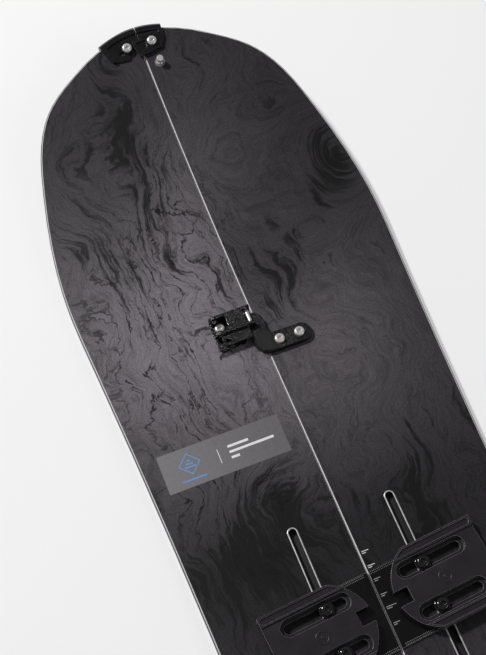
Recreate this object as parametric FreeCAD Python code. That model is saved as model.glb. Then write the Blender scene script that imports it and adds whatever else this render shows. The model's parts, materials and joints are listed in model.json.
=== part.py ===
import FreeCAD, Part
import math
import os

# Splitboard: a snowboard cut lengthwise into two skis, with its joining clips and binding pucks.
# Millimetres. +X right, +Y towards the nose, +Z up. Origin on the running base, at mid-length, on the seam.

# Board outline
LENGTH = 1590.0
WAIST_HALF = 133.0
WAIST_Y = -20.0
FRONT_SIDECUT = 8000.0
REAR_SIDECUT = 10000.0
FRONT_CUT_END = 500.0
REAR_CUT_END = -520.0
SEAM_GAP = 0.5

# Nose shape: (half width, distance back from the tip), widest point first
NOSE_STATIONS = (
    (152.0, 235.0),
    (145.2, 169.0),
    (135.0, 121.0),
    (122.5, 81.0),
    (101.9, 49.0),
    (69.8, 25.0),
    (39.2, 9.0),
    (15.0, 1.6),
    (0.0, 0.0),
)
TAIL_WIDTH_RATIO = 147.0 / 152.0
TAIL_LENGTH_RATIO = 0.9

# Side profile
MID_THICK = 9.0
TIP_THICK = 6.0
NOSE_START = 486.0
NOSE_KICK = 43.5
TAIL_START = 520.0
TAIL_KICK = 32.0
KICK_POWER = 1.81
CURVE_STATIONS = 9
OVERRUN = 6.0

# Layers, from the base up
BASE_THICK = 1.3
STEEL_HEIGHT = 2.0
STEEL_WIDTH = 2.0
WALL_WIDTH = 6.0
LAMINATE_THICK = 0.7
SKIN_THICK = 0.6
LAMINATE_INSET = 0.8
SKIN_INSET = 1.6
SEAM_LAMINATE_INSET = 0.3
SEAM_SKIN_INSET = 0.7
WORK_WIDTH = 170.0
WORK_HEIGHT = 90.0

# Binding channels, one in front of and one behind the middle on each half
CHANNEL_X = 43.9
CHANNEL_Y = (202.0, -342.0)
CHANNEL_LENGTH = 190.0
CHANNEL_WIDTH = 18.0
CHANNEL_FLOOR = 0.9
CHAMBER_WIDTH = 13.4
CHAMBER_TOP = 6.2
SLOT_WIDTH = 7.4
SLOT_RIM = 0.6

# Threaded inserts for the clips and for touring hardware
INSERT_R = 5.0
INSERT_BORE_R = 3.0
INSERT_FLOOR = 1.0
TOUR_X = (45.0, 85.0)
TOUR_Y = (10.0, 50.0)
HEEL_X = (45.0, 85.0)
HEEL_Y = -180.0

# Screws of the clips
SCREW_R = 2.9
SCREW_DEPTH = 4.5
TIP_INSERT_DEPTH = 3.3
TIP_BORE_DEPTH = 2.8
TIP_SCREW_DEPTH = 2.5
HEAD_R = 4.6
HEAD_HEIGHT = 2.9
SOCKET_R = 1.9
SOCKET_DEPTH = 1.6
DOME_SHARE = 0.6
BOLT_DOME_SHARE = 0.7
EDGE_TOL = 0.1

# Pucks, in their own frame: +X outboard from the seam, Y along the board
PUCK_TURN = (4.8, 0.0)
PUCK_TRAVEL_GAP = 0.35
PLATE_THICK = 1.3
PUCK_HEIGHT = 10.4
PUCK_BODY_HEIGHT = 8.6
PUCK_OUT = 97.0
PUCK_HALF = 36.0
PUCK_RAIL = 8.0
PUCK_ARC_X = 50.5
PUCK_ARC_R = 39.3
PUCK_NOTCH_OUT = 23.5
PUCK_NOTCH_HALF = 6.4
PUCK_SLOT_Y = 18.6
RECESS_IN = 21.6
RECESS_OUT = 83.8
RECESS_WIDTH = 15.0
RECESS_FLOOR = 4.0
PUCK_SLOT_WIDTH = 8.6
PUCK_SLOT_INSET = 3.2
RAIL_GROOVE_Y = 31.9
RAIL_GROOVE_WIDTH = 5.4
RAIL_GROOVE_DEPTH = 1.5
RAIL_GROOVE_RIM = 1.4
RAIL_UNDERCUT_DEPTH = 2.2
RAIL_UNDERCUT_LOW = 2.4
RAIL_UNDERCUT_HIGH = 5.4
RAIL_UNDERCUT_IN = 30.0
PLATE_NOSE = 32.6
PLATE_TAIL = -34.3
PLATE_OUT = 90.0
PLATE_IN = -6.0
PLATE_SEAM_GAP = 0.2

# Puck bolts, washers and channel nuts
BOLT_R = 3.0
BOLT_HEAD_R = 5.4
BOLT_HEAD_HEIGHT = 3.3
BOLT_SOCKET_R = 2.3
BOLT_SOCKET_DEPTH = 2.0
WASHER_R = 6.6
WASHER_THICK = 1.2
NUT_WIDTH = 12.4
NUT_LENGTH = 14.0
NUT_GAP = 0.35
NUT_CHAMFER = 2.0

# Closing clip: a toggle on the left half that drops a bar behind the hook of the right half
CLIP_X = (-40.4, -10.5)
CLIP_Y = (462.0, 492.4)
CLIP_PLATE = 2.0
CLIP_CHAMFER = (2.0, 5.0)
EAR_Y = ((477.1, 478.6), (488.2, 489.7))
PIVOT_X = -35.6
PIVOT_Z = 7.0
PIVOT_R = 1.5
PIVOT_END_GAP = 0.3
EAR_R = 3.2
RUNNING_GAP = 0.05
LEVER_Y = (474.0, 492.8)
LEVER_WALL = 2.8
LEVER_TOP = 12.0
LEVER_LID = 2.4
LEVER_WINDOW_END = -25.7
LEVER_LID_END = -9.3
LEVER_END = -1.9
LEVER_LOW = 4.0
LEVER_TAIL_R = 4.65
TAB_Y = 463.0
TAB_X = (-35.0, -9.0)
TAB_HOLE = ((-33.6, 465.0), (-26.5, 466.2), (-32.0, 470.2))
TAB_Z = (6.4, 9.0)
BAR_X = -5.4
BAR_Z = 6.4
BAR_R = 2.0
BAR_INSET = 1.0
CLIP_SCREW_X = (-32.6, -18.4)
CLIP_SCREW_Y = 483.4
HOOK_THICK = 5.4
HOOK_ARM_Y = (445.0, 462.4)
HOOK_ARM_END = 42.4
HOOK_X = (-9.6, 6.4)
HOOK_TOP_Y = 487.0
HOOK_LIFT = 0.4
HOOK_CORNERS = ((-9.6, 445.0, 14.0), (6.4, 487.0, 10.0), (6.4, 462.4, 5.0))
HOOK_BEVEL = 0.8
HOOK_RELIEF_GAP = 0.6
HOOK_SCREWS = (12.6, 31.4)
HOOK_SCREW_Y = 453.7
GROOVE_X = (-8.5, -2.9)
GROOVE_DEPTH = 1.4
GROOVE_Y = 473.4

# Tip clips: (x, distance ahead of the tip) corners, on the surface of the nose or tail
TIP_CLIP_THICK = 3.6
TIP_ARC_R = 88.0
TIP_LIP_GAP = 0.4
TIP_LIP = 1.5
TIP_LIP_DROP = 3.2
TIP_BEVEL = 1.6
TIP_SEAT = 0.15
TIP_LEFT = (
    (-0.5, 5.0),
    (-43.4, 5.0),
    (-30.9, -26.7),
    (-14.6, -28.5),
    (-8.4, -18.5),
    (-7.4, -11.6),
    (-0.5, -11.6),
)
TIP_RIGHT = (
    (0.5, 5.0),
    (26.0, 5.0),
    (24.3, -15.2),
    (18.7, -24.8),
    (6.0, -27.6),
    (-3.8, -28.8),
    (-6.8, -18.4),
    (-6.8, -12.2),
    (0.5, -12.2),
)
TIP_RECESS = ((-5.0, -13.6), (5.6, -13.6), (5.6, -21.0), (-2.4, -26.4))
TIP_RECESS_DEPTH = 1.8
TIP_RIM = 4.2
TIP_FLOOR = 1.9
TIP_FLOOR_LEFT = ((-0.5, 5.0), (-38.0, 5.0), (-26.5, -30.0), (-0.5, -30.0))
TIP_FLOOR_RIGHT = (
    (0.5, -6.6),
    (0.5, 5.0),
    (21.0, 5.0),
    (21.0, -10.0),
    (16.5, -8.0),
    (6.6, -8.0),
)
TIP_BOSS_R = 5.3
TIP_CRESCENT = (-22.6, -16.4, -20.4, 4.4)
TIP_PEG = (-13.4, -22.4, 2.3)
TIP_TOOTH = (-20.0, 0.5, -40.0, 40.0)
TIP_SCREWS = (-13.6, 11.6)
TIP_SCREW_Y = 778.0
TIP_LIFT = 0.4
STUD_X = 12.0
STUD_Y = 757.0
STUD_R = 3.2
STUD_HEIGHT = 8.5
STUD_NECK_R = 2.2
STUD_NECK = (2.0, 5.0)

HALF = LENGTH / 2.0
TOP = MID_THICK
X_AXIS = FreeCAD.Vector(1, 0, 0)
Y_AXIS = FreeCAD.Vector(0, 1, 0)
Z_AXIS = FreeCAD.Vector(0, 0, 1)
ORIGIN = FreeCAD.Vector(0, 0, 0)


def vec(x, y, z=0.0):
    return FreeCAD.Vector(x, y, z)


def box(x0, x1, y0, y1, z0, z1):
    return Part.makeBox(x1 - x0, y1 - y0, z1 - z0, vec(x0, y0, z0))


def rod(radius, x, y, z0, z1):
    return Part.makeCylinder(radius, z1 - z0, vec(x, y, z0))


def prism(points, z0, z1):
    """Upright prism on a closed outline of (x, y) points."""
    loop = [vec(x, y, z0) for x, y in points]
    face = Part.Face(Part.makePolygon(loop + loop[:1]))
    return face.extrude(vec(0, 0, z1 - z0))


def stadium_y(x, y0, y1, width, z0, z1):
    """Slot shape running along Y, with round ends."""
    r = width / 2.0
    body = box(x - r, x + r, y0 + r, y1 - r, z0, z1)
    return body.fuse([rod(r, x, y0 + r, z0, z1), rod(r, x, y1 - r, z0, z1)]).removeSplitter()


def stadium_x(y, x0, x1, width, z0, z1):
    """Slot shape running along X, with round ends."""
    r = width / 2.0
    body = box(x0 + r, x1 - r, y - r, y + r, z0, z1)
    return body.fuse([rod(r, x0 + r, y, z0, z1), rod(r, x1 - r, y, z0, z1)]).removeSplitter()


def mirrored_x(shape):
    return shape.mirror(ORIGIN, X_AXIS)


def mirrored_y(shape):
    return shape.mirror(ORIGIN, Y_AXIS)


def underside(y):
    """Height of the running base: flat between the contact lines, then curving up."""
    if y > NOSE_START:
        return NOSE_KICK * ((y - NOSE_START) / (HALF - NOSE_START)) ** KICK_POWER
    if y < -TAIL_START:
        return TAIL_KICK * ((-y - TAIL_START) / (HALF - TAIL_START)) ** KICK_POWER
    return 0.0


def thickness(y):
    """Full thickness: constant in the middle, thinner towards each tip."""
    start = NOSE_START if y > 0 else TAIL_START
    share = max(0.0, abs(y) - start) / (HALF - start)
    return MID_THICK - (MID_THICK - TIP_THICK) * share


def from_base(depth):
    return lambda y: underside(y) + depth


def from_top(depth):
    return lambda y: underside(y) + thickness(y) - depth


def end_curve(level, y_start, y_end):
    """Smooth side-view curve from a contact line out past a tip."""
    steps = range(CURVE_STATIONS + 1)
    ys = [y_start + (y_end - y_start) * i / CURVE_STATIONS for i in steps]
    curve = Part.BSplineCurve()
    curve.interpolate([vec(0, y, level(y)) for y in ys])
    return curve.toShape()


def side_edges(level):
    """Side-view edges of one layer boundary, tail to nose."""
    tail = end_curve(level, -HALF - OVERRUN, -TAIL_START)
    middle = Part.makeLine(
        vec(0, -TAIL_START, level(-TAIL_START)), vec(0, NOSE_START, level(NOSE_START))
    )
    nose = end_curve(level, NOSE_START, HALF + OVERRUN)
    return [tail, middle, nose]


def sheet(low, high):
    """Layer of the pressed board, wider than the outline, between two side-view levels."""
    ends = []
    for y in (-HALF - OVERRUN, HALF + OVERRUN):
        ends.append(Part.makeLine(vec(0, y, low(y)), vec(0, y, high(y))))
    edges = Part.sortEdges(side_edges(low) + side_edges(high) + ends)[0]
    face = Part.Face(Part.Wire(edges))
    solid = face.extrude(vec(2 * WORK_WIDTH, 0, 0))
    solid.translate(vec(-WORK_WIDTH, 0, 0))
    return solid


def sidecut_point(y, radius, inset):
    """Point of a sidecut arc, moved inwards along its normal."""
    run = y - WAIST_Y
    lean = run / radius
    edge = vec(WAIST_HALF + run * run / (2.0 * radius), y)
    inward = vec(-1.0, lean)
    inward.normalize()
    return edge + inward * inset


def tip_edge(end, inset):
    """Curve of the right side of the nose (end 1) or tail (end -1), from the sidecut to the tip."""
    wide = 1.0 if end > 0 else TAIL_WIDTH_RATIO
    deep = 1.0 if end > 0 else TAIL_LENGTH_RATIO
    radius = FRONT_SIDECUT if end > 0 else REAR_SIDECUT
    start = FRONT_CUT_END if end > 0 else REAR_CUT_END
    points = [sidecut_point(start, radius, 0.0)]
    for half_width, back in NOSE_STATIONS:
        points.append(vec(half_width * wide, end * (HALF - back * deep)))
    first = vec((start - WAIST_Y) / radius * end, end)
    last = vec(-1, 0)
    curve = Part.BSplineCurve()
    curve.interpolate(Points=points, InitialTangent=first, FinalTangent=last)
    moved = []
    for point in points:
        along = curve.tangent(curve.parameter(point))[0]
        inward = vec(-along.y, along.x) * end
        inward.normalize()
        moved.append(point + inward * inset)
    inset_curve = Part.BSplineCurve()
    inset_curve.interpolate(Points=moved, InitialTangent=first, FinalTangent=last)
    return inset_curve.toShape()


def right_outline(inset):
    """Right-hand outline of the board, tail tip to nose tip."""
    nose = tip_edge(1, inset)
    tail = tip_edge(-1, inset)
    edges = [tail]
    spans = ((REAR_CUT_END, WAIST_Y, REAR_SIDECUT), (WAIST_Y, FRONT_CUT_END, FRONT_SIDECUT))
    for y0, y1, radius in spans:
        ends = [sidecut_point(y, radius, inset) for y in (y0, (y0 + y1) / 2.0, y1)]
        edges.append(Part.Arc(*ends).toShape())
    edges.append(nose)
    return edges


def plan(inset):
    """Upright prism of the whole board outline, moved inwards all round."""
    right = right_outline(inset)
    left = [mirrored_x(edge) for edge in right]
    wire = Part.Wire(Part.sortEdges(right + left)[0])
    return Part.Face(wire).extrude(vec(0, 0, WORK_HEIGHT))


def right_of(x):
    """Work space to the right of a line along the board."""
    return box(x, WORK_WIDTH, -HALF - OVERRUN, HALF + OVERRUN, 0, WORK_HEIGHT)


def strip(x0, x1):
    """Work space of a straight strip along the seam."""
    return box(x0, x1, -HALF - OVERRUN, HALF + OVERRUN, 0, WORK_HEIGHT)


def in_three(strip_shape):
    """A strip butt-jointed at the contact lines: tail spacer, straight strip, nose spacer."""
    ends = (-HALF - OVERRUN, -TAIL_START, NOSE_START, HALF + OVERRUN)
    pieces = []
    for y0, y1 in zip(ends[:-1], ends[1:]):
        span = box(-WORK_WIDTH, WORK_WIDTH, y0, y1, 0, WORK_HEIGHT)
        pieces.append(strip_shape.common(span))
    return Part.makeCompound(pieces)


def half_blanks():
    """The glued-up layers of the right half before any hardware is let in."""
    seam = SEAM_GAP / 2.0
    outer = plan(0.0)
    inside_steel = plan(STEEL_WIDTH)
    inside_wall = plan(WALL_WIDTH)
    base = sheet(from_base(0.0), from_base(BASE_THICK))
    steel = sheet(from_base(0.0), from_base(STEEL_HEIGHT))
    low_glass = sheet(from_base(BASE_THICK), from_base(STEEL_HEIGHT))
    middle = sheet(from_base(STEEL_HEIGHT), from_top(LAMINATE_THICK + SKIN_THICK))
    high_glass = sheet(from_top(LAMINATE_THICK + SKIN_THICK), from_top(SKIN_THICK))
    skin = sheet(from_top(SKIN_THICK), from_top(0.0))
    past_steel = right_of(seam + STEEL_WIDTH)
    past_wall = right_of(seam + WALL_WIDTH)
    blanks = {
        "base_sheet": base.common(inside_steel).common(past_steel),
        "outer_edge": steel.common(outer.cut(inside_steel)).common(past_steel),
        "inner_edge": steel.common(outer).common(strip(seam, seam + STEEL_WIDTH)),
        "lower_laminate": low_glass.common(inside_steel).common(past_steel),
        "core": middle.common(inside_wall).common(past_wall),
        "outer_sidewall": in_three(middle.common(outer.cut(inside_wall)).common(past_wall)),
        "inner_sidewall": in_three(middle.common(outer).common(strip(seam, seam + WALL_WIDTH))),
        "upper_laminate": high_glass.common(plan(LAMINATE_INSET)).common(
            right_of(seam + SEAM_LAMINATE_INSET)
        ),
        "topsheet": skin.common(plan(SKIN_INSET)).common(right_of(seam + SEAM_SKIN_INSET)),
    }
    return blanks


def channel_spans():
    return [(y - CHANNEL_LENGTH / 2.0, y + CHANNEL_LENGTH / 2.0) for y in CHANNEL_Y]


def channel_rail(y0, y1):
    """Pressed-in rail with a slot in its roof and a wider chamber for the nuts below."""
    low = STEEL_HEIGHT
    roof = TOP - LAMINATE_THICK - SKIN_THICK
    wall = (CHANNEL_WIDTH - CHAMBER_WIDTH) / 2.0
    body = stadium_y(CHANNEL_X, y0, y1, CHANNEL_WIDTH, low, roof)
    rim_width = SLOT_WIDTH + 2.0 * SLOT_RIM
    rim_end = (CHANNEL_WIDTH - rim_width) / 2.0
    rim = stadium_y(CHANNEL_X, y0 + rim_end, y1 - rim_end, rim_width, roof, TOP)
    chamber = stadium_y(
        CHANNEL_X, y0 + wall, y1 - wall, CHAMBER_WIDTH, low + CHANNEL_FLOOR, CHAMBER_TOP
    )
    slot_end = (CHANNEL_WIDTH - SLOT_WIDTH) / 2.0
    slot = stadium_y(CHANNEL_X, y0 + slot_end, y1 - slot_end, SLOT_WIDTH, CHAMBER_TOP, TOP)
    return body.fuse(rim).removeSplitter().cut(chamber.fuse(slot))


def channel_pockets():
    """Room for the rails in the core, and for their rims in the layers above."""
    roof = TOP - LAMINATE_THICK - SKIN_THICK
    rim_width = SLOT_WIDTH + 2.0 * SLOT_RIM
    rim_end = (CHANNEL_WIDTH - rim_width) / 2.0
    pockets = []
    for y0, y1 in channel_spans():
        pockets.append(stadium_y(CHANNEL_X, y0, y1, CHANNEL_WIDTH, STEEL_HEIGHT, roof))
        pockets.append(
            stadium_y(CHANNEL_X, y0 + rim_end, y1 - rim_end, rim_width, roof, TOP)
        )
    return pockets


def on_slope(shape, y):
    """Carries a shape drawn level at the origin onto the sloping surface at a place on the seam."""
    near = abs(y)
    end = math.copysign(1.0, y)
    level = from_top(0.0)
    rise = (level(end * (near + 1.0)) - level(end * (near - 1.0))) / 2.0
    placed = shape.copy()
    placed.rotate(ORIGIN, X_AXIS, math.degrees(math.atan(rise)))
    placed.translate(vec(0, near, level(y)))
    return placed if end > 0 else mirrored_y(placed)


def flat_insert_places(side):
    """Insert centres on one half: touring bracket, heel rest and closing clips."""
    places = [(x * side, y) for x in TOUR_X for y in TOUR_Y]
    places += [(x * side, HEEL_Y) for x in HEEL_X]
    if side > 0:
        clip = [(x, HOOK_SCREW_Y) for x in HOOK_SCREWS]
    else:
        clip = [(x, CLIP_SCREW_Y) for x in CLIP_SCREW_X]
    return places + clip + [(x, -y) for x, y in clip]


def sloped_insert_places(side):
    """Insert places on the nose and tail: (x, y) of the tip clip screw and of the post."""
    if side < 0:
        near = [(TIP_SCREWS[0], TIP_SCREW_Y)]
    else:
        near = [(TIP_SCREWS[1], TIP_SCREW_Y), (STUD_X, STUD_Y)]
    return near + [(x, -y) for x, y in near]


def insert_blocks(side, radius, floor, tip_depth):
    """One cylinder for each insert of a half, from a floor to the surface."""
    blocks = [rod(radius, x, y, floor, TOP) for x, y in flat_insert_places(side)]
    for x, y in sloped_insert_places(side):
        blocks.append(on_slope(rod(radius, x, 0.0, -tip_depth, 0.0), y))
    return blocks


def insert_holes(side):
    """The same places drilled through the layers, a little proud of the curved surface."""
    holes = [rod(INSERT_R, x, y, STEEL_HEIGHT, TOP) for x, y in flat_insert_places(side)]
    for x, y in sloped_insert_places(side):
        holes.append(on_slope(rod(INSERT_R, x, 0.0, -TIP_INSERT_DEPTH, 1.0), y))
    return holes


def inserts(side):
    """Threaded steel inserts, blind at the bottom, flush with the topsheet."""
    bodies = insert_blocks(side, INSERT_R, STEEL_HEIGHT, TIP_INSERT_DEPTH)
    bores = insert_blocks(side, INSERT_BORE_R, STEEL_HEIGHT + INSERT_FLOOR, TIP_BORE_DEPTH)
    return Part.makeCompound([body.cut(bore) for body, bore in zip(bodies, bores)])


def screw(x, y, z, depth):
    """Button-head screw with a socket, its head resting at height z."""
    head = rod(HEAD_R, x, y, z, z + HEAD_HEIGHT)
    top = [edge for edge in head.Edges if edge.BoundBox.ZMin > z + HEAD_HEIGHT - EDGE_TOL]
    head = head.makeFillet(HEAD_HEIGHT * DOME_SHARE, top)
    shank = rod(SCREW_R, x, y, z - depth, z)
    socket = rod(SOCKET_R, x, y, z + HEAD_HEIGHT - SOCKET_DEPTH, z + HEAD_HEIGHT)
    return head.fuse(shank).removeSplitter().cut(socket)


def puck_blank():
    """Plan of a right-hand puck: straight outboard end, round inboard end with a square notch."""
    body = box(PUCK_ARC_X, PUCK_OUT, -PUCK_HALF, PUCK_HALF, 0.0, PUCK_HEIGHT)
    slab = box(0.0, PUCK_ARC_X, -PUCK_HALF, PUCK_HALF, 0.0, PUCK_HEIGHT)
    cheek = rod(PUCK_ARC_R, PUCK_ARC_X, 0.0, 0.0, PUCK_HEIGHT).common(slab)
    half = PUCK_NOTCH_HALF
    notch = box(0.0, PUCK_NOTCH_OUT, -half, half, 0.0, PUCK_HEIGHT)
    return body.fuse(cheek).removeSplitter().cut(notch)


def puck_slots(low, high, width, inset):
    x0 = RECESS_IN + inset
    x1 = RECESS_OUT - inset
    return [stadium_x(y, x0, x1, width, low, high) for y in (PUCK_SLOT_Y, -PUCK_SLOT_Y)]


def puck_block():
    """Moulded puck: rails along its front and back, and two recessed slots for the bolts."""
    block = puck_blank()
    inner = PUCK_HALF - PUCK_RAIL
    cuts = [box(0, PUCK_OUT + 1, -inner, inner, PUCK_BODY_HEIGHT, PUCK_HEIGHT)]
    cuts += puck_slots(RECESS_FLOOR, PUCK_HEIGHT, RECESS_WIDTH, 0.0)
    cuts += puck_slots(0.0, RECESS_FLOOR, PUCK_SLOT_WIDTH, PUCK_SLOT_INSET)
    low = PUCK_HEIGHT - RAIL_GROOVE_DEPTH
    inside = rod(PUCK_ARC_R - RAIL_GROOVE_RIM, PUCK_ARC_X, 0.0, low, PUCK_HEIGHT)
    inside = inside.fuse(box(PUCK_ARC_X, PUCK_OUT, -PUCK_HALF, PUCK_HALF, low, PUCK_HEIGHT))
    end = PUCK_OUT - RAIL_GROOVE_RIM
    for side in (-1, 1):
        y = side * RAIL_GROOVE_Y
        groove = stadium_x(y, 0.0, end, RAIL_GROOVE_WIDTH, low, PUCK_HEIGHT)
        cuts.append(groove.common(inside))
        y0, y1 = sorted((side * PUCK_HALF, side * (PUCK_HALF - RAIL_UNDERCUT_DEPTH)))
        span = (RAIL_UNDERCUT_IN, PUCK_OUT + 1)
        cuts.append(box(span[0], span[1], y0, y1, RAIL_UNDERCUT_LOW, RAIL_UNDERCUT_HIGH))
    return block.cut(cuts).removeSplitter()


def puck_plate():
    """Thin grip plate under a puck, before it is turned and cut back at the seam."""
    plate = box(PLATE_IN, PLATE_OUT, PLATE_TAIL, PLATE_NOSE, 0.0, PLATE_THICK)
    return plate.cut(puck_slots(0.0, PLATE_THICK, PUCK_SLOT_WIDTH, PUCK_SLOT_INSET))


def placed_puck(shape, side, station, z):
    """Puts a right-hand puck part on its half, turned to the stance angle."""
    placed = shape if side > 0 else mirrored_x(shape)
    placed = placed.copy()
    placed.rotate(ORIGIN, Z_AXIS, PUCK_TURN[station])
    placed.translate(vec(0, CHANNEL_Y[station], z))
    return placed


def seam_trim(shape, side):
    keep = right_of(SEAM_GAP / 2.0 + PLATE_SEAM_GAP)
    return shape.common(keep if side > 0 else mirrored_x(keep))


def bolt_places(side, station):
    """Where the channel line crosses the two slots of a turned puck."""
    turn = math.radians(PUCK_TURN[station])
    places = []
    for y_slot in (PUCK_SLOT_Y, -PUCK_SLOT_Y):
        along = (side * CHANNEL_X + y_slot * math.sin(turn)) / math.cos(turn)
        y = CHANNEL_Y[station] + along * math.sin(turn) + y_slot * math.cos(turn)
        places.append((side * CHANNEL_X, y))
    return places


def puck_bolt(x, y):
    """Button-head bolt with its washer, from the puck's recess down to the channel nut."""
    seat = TOP + PUCK_TRAVEL_GAP + PLATE_THICK + RECESS_FLOOR + PUCK_TRAVEL_GAP
    washer = rod(WASHER_R, x, y, seat, seat + WASHER_THICK)
    foot = seat + WASHER_THICK
    head = rod(BOLT_HEAD_R, x, y, foot, foot + BOLT_HEAD_HEIGHT)
    crown = foot + BOLT_HEAD_HEIGHT
    top = [edge for edge in head.Edges if edge.BoundBox.ZMin > crown - EDGE_TOL]
    head = head.makeFillet(BOLT_HEAD_HEIGHT * BOLT_DOME_SHARE, top)
    shank = rod(BOLT_R, x, y, STEEL_HEIGHT + CHANNEL_FLOOR + NUT_GAP, foot)
    socket = rod(BOLT_SOCKET_R, x, y, crown - BOLT_SOCKET_DEPTH, crown)
    return head.fuse([washer, shank]).removeSplitter().cut(socket)


def channel_nut(x, y):
    """Flat sliding nut inside the rail's chamber."""
    low = STEEL_HEIGHT + CHANNEL_FLOOR + NUT_GAP
    high = CHAMBER_TOP - NUT_GAP
    w = NUT_WIDTH / 2.0
    h = NUT_LENGTH / 2.0
    nut = box(x - w, x + w, y - h, y + h, low, high)
    corners = [e for e in nut.Edges if e.BoundBox.ZLength > EDGE_TOL]
    nut = nut.makeChamfer(NUT_CHAMFER, corners)
    return nut.cut(rod(BOLT_R, x, y, low, high))


def clip_base():
    """Foot plate of the closing clip, with two ears for the pivot pin."""
    x0, x1 = CLIP_X
    y0, y1 = CLIP_Y
    a, b = CLIP_CHAMFER
    corners = ((x0, y0 + a), (x0 + a, y0), (x1 - b, y0), (x1, y0 + b), (x1, y1), (x0, y1))
    plate = prism(corners, TOP, TOP + CLIP_PLATE)
    ears = []
    bores = []
    for e0, e1 in EAR_Y:
        ear = box(PIVOT_X - EAR_R, PIVOT_X + EAR_R, e0, e1, TOP, TOP + PIVOT_Z)
        eye = Part.makeCylinder(EAR_R, e1 - e0, vec(PIVOT_X, e0, TOP + PIVOT_Z), Y_AXIS)
        ears.append(ear.fuse(eye))
        bores.append(Part.makeCylinder(PIVOT_R, e1 - e0, vec(PIVOT_X, e0, TOP + PIVOT_Z), Y_AXIS))
    holes = [rod(SCREW_R, x, CLIP_SCREW_Y, TOP, TOP + CLIP_PLATE) for x in CLIP_SCREW_X]
    return plate.fuse(ears).removeSplitter().cut(bores + holes)


def clip_pivot_pins():
    """Two short pins, each pressed into an ear and turning in a cheek of the lever."""
    z = TOP + PIVOT_Z
    spans = (
        (LEVER_Y[0] + PIVOT_END_GAP, EAR_Y[0][1]),
        (EAR_Y[1][0], LEVER_Y[1] - PIVOT_END_GAP),
    )
    pins = [Part.makeCylinder(PIVOT_R, b - a, vec(PIVOT_X, a, z), Y_AXIS) for a, b in spans]
    return Part.makeCompound(pins)


def clip_lever():
    """Toggle lever: two cheeks and a lid, open over the foot screw, with a finger tab."""
    y0, y1 = LEVER_Y
    z_pivot = TOP + PIVOT_Z
    top = TOP + LEVER_TOP
    parts = []
    for c0, c1 in ((y0, y0 + LEVER_WALL), (y1 - LEVER_WALL, y1)):
        parts.append(box(PIVOT_X, LEVER_END, c0, c1, TOP + LEVER_LOW, top))
        parts.append(Part.makeCylinder(LEVER_TAIL_R, c1 - c0, vec(PIVOT_X, c0, z_pivot), Y_AXIS))
    parts.append(box(LEVER_WINDOW_END, LEVER_LID_END, y0, y1, top - LEVER_LID, top))
    parts.append(box(TAB_X[0], TAB_X[1], TAB_Y, y0, TOP + TAB_Z[0], TOP + TAB_Z[1]))
    lever = parts[0].fuse(parts[1:]).removeSplitter()
    lever = lever.cut(prism(TAB_HOLE, TOP, TOP + LEVER_TOP))
    bore_r = PIVOT_R + RUNNING_GAP
    bore = Part.makeCylinder(bore_r, y1 - y0 + 2, vec(PIVOT_X, y0 - 1, z_pivot), Y_AXIS)
    return lever.cut([bore, clip_bar()])


def clip_bar():
    """Steel bar of the lever that lies in the groove of the hook."""
    y0, y1 = LEVER_Y
    foot = vec(BAR_X, y0 + BAR_INSET, TOP + BAR_Z)
    return Part.makeCylinder(BAR_R, y1 - y0 - 2.0 * BAR_INSET, foot, Y_AXIS)


def hook_plate():
    """S-shaped hook: an arm screwed to the right half and an upright reaching over the seam."""
    y0, y1 = HOOK_ARM_Y
    r = (y1 - y0) / 2.0
    z0 = TOP
    z1 = TOP + HOOK_THICK
    arm = box(HOOK_X[0], HOOK_ARM_END - r, y0, y1, z0, z1)
    arm = arm.fuse(rod(r, HOOK_ARM_END - r, (y0 + y1) / 2.0, z0, z1))
    upright = box(HOOK_X[0], HOOK_X[1], y0, HOOK_TOP_Y, z0, z1)
    plate = arm.fuse(upright).removeSplitter()
    for x, y, radius in HOOK_CORNERS:
        edge = [
            e for e in plate.Edges
            if e.BoundBox.ZLength > HOOK_THICK - EDGE_TOL
            and abs(e.BoundBox.XMin - x) < EDGE_TOL and abs(e.BoundBox.YMin - y) < EDGE_TOL
        ]
        plate = plate.makeFillet(radius, edge)
    rim = [e for e in plate.Edges if e.BoundBox.ZMin > z1 - EDGE_TOL]
    plate = plate.makeChamfer(HOOK_BEVEL, rim)
    over_seam = box(HOOK_X[0] - 1, SEAM_GAP, y0 - 1, HOOK_TOP_Y + 1, z0, z0 + HOOK_LIFT)
    groove = box(GROOVE_X[0], GROOVE_X[1], GROOVE_Y, HOOK_TOP_Y + 1, z1 - GROOVE_DEPTH, z1)
    gap = HOOK_RELIEF_GAP
    cheek = (LEVER_Y[0] - gap, LEVER_Y[0] + LEVER_WALL + gap)
    relief_low = TOP + LEVER_LOW - HOOK_LIFT
    relief = box(HOOK_X[0] - 1, LEVER_END + gap, cheek[0], cheek[1], relief_low, z1)
    holes = [rod(SCREW_R, x, HOOK_SCREW_Y, z0, z1) for x in HOOK_SCREWS]
    return plate.cut([over_seam, groove, relief] + holes)


def tip_floor(side, ahead, x):
    """Hollow inside the clip's curved rim, leaving a round boss under the screw."""
    corners = TIP_FLOOR_LEFT if side < 0 else TIP_FLOOR_RIGHT
    area = prism([(px, py + ahead) for px, py in corners], TIP_FLOOR, TIP_CLIP_THICK)
    inside = rod(TIP_ARC_R - TIP_RIM, 0.0, ahead - TIP_ARC_R, TIP_FLOOR, TIP_CLIP_THICK)
    return area.common(inside).cut(rod(TIP_BOSS_R, x, 0.0, TIP_FLOOR, TIP_CLIP_THICK))


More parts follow.
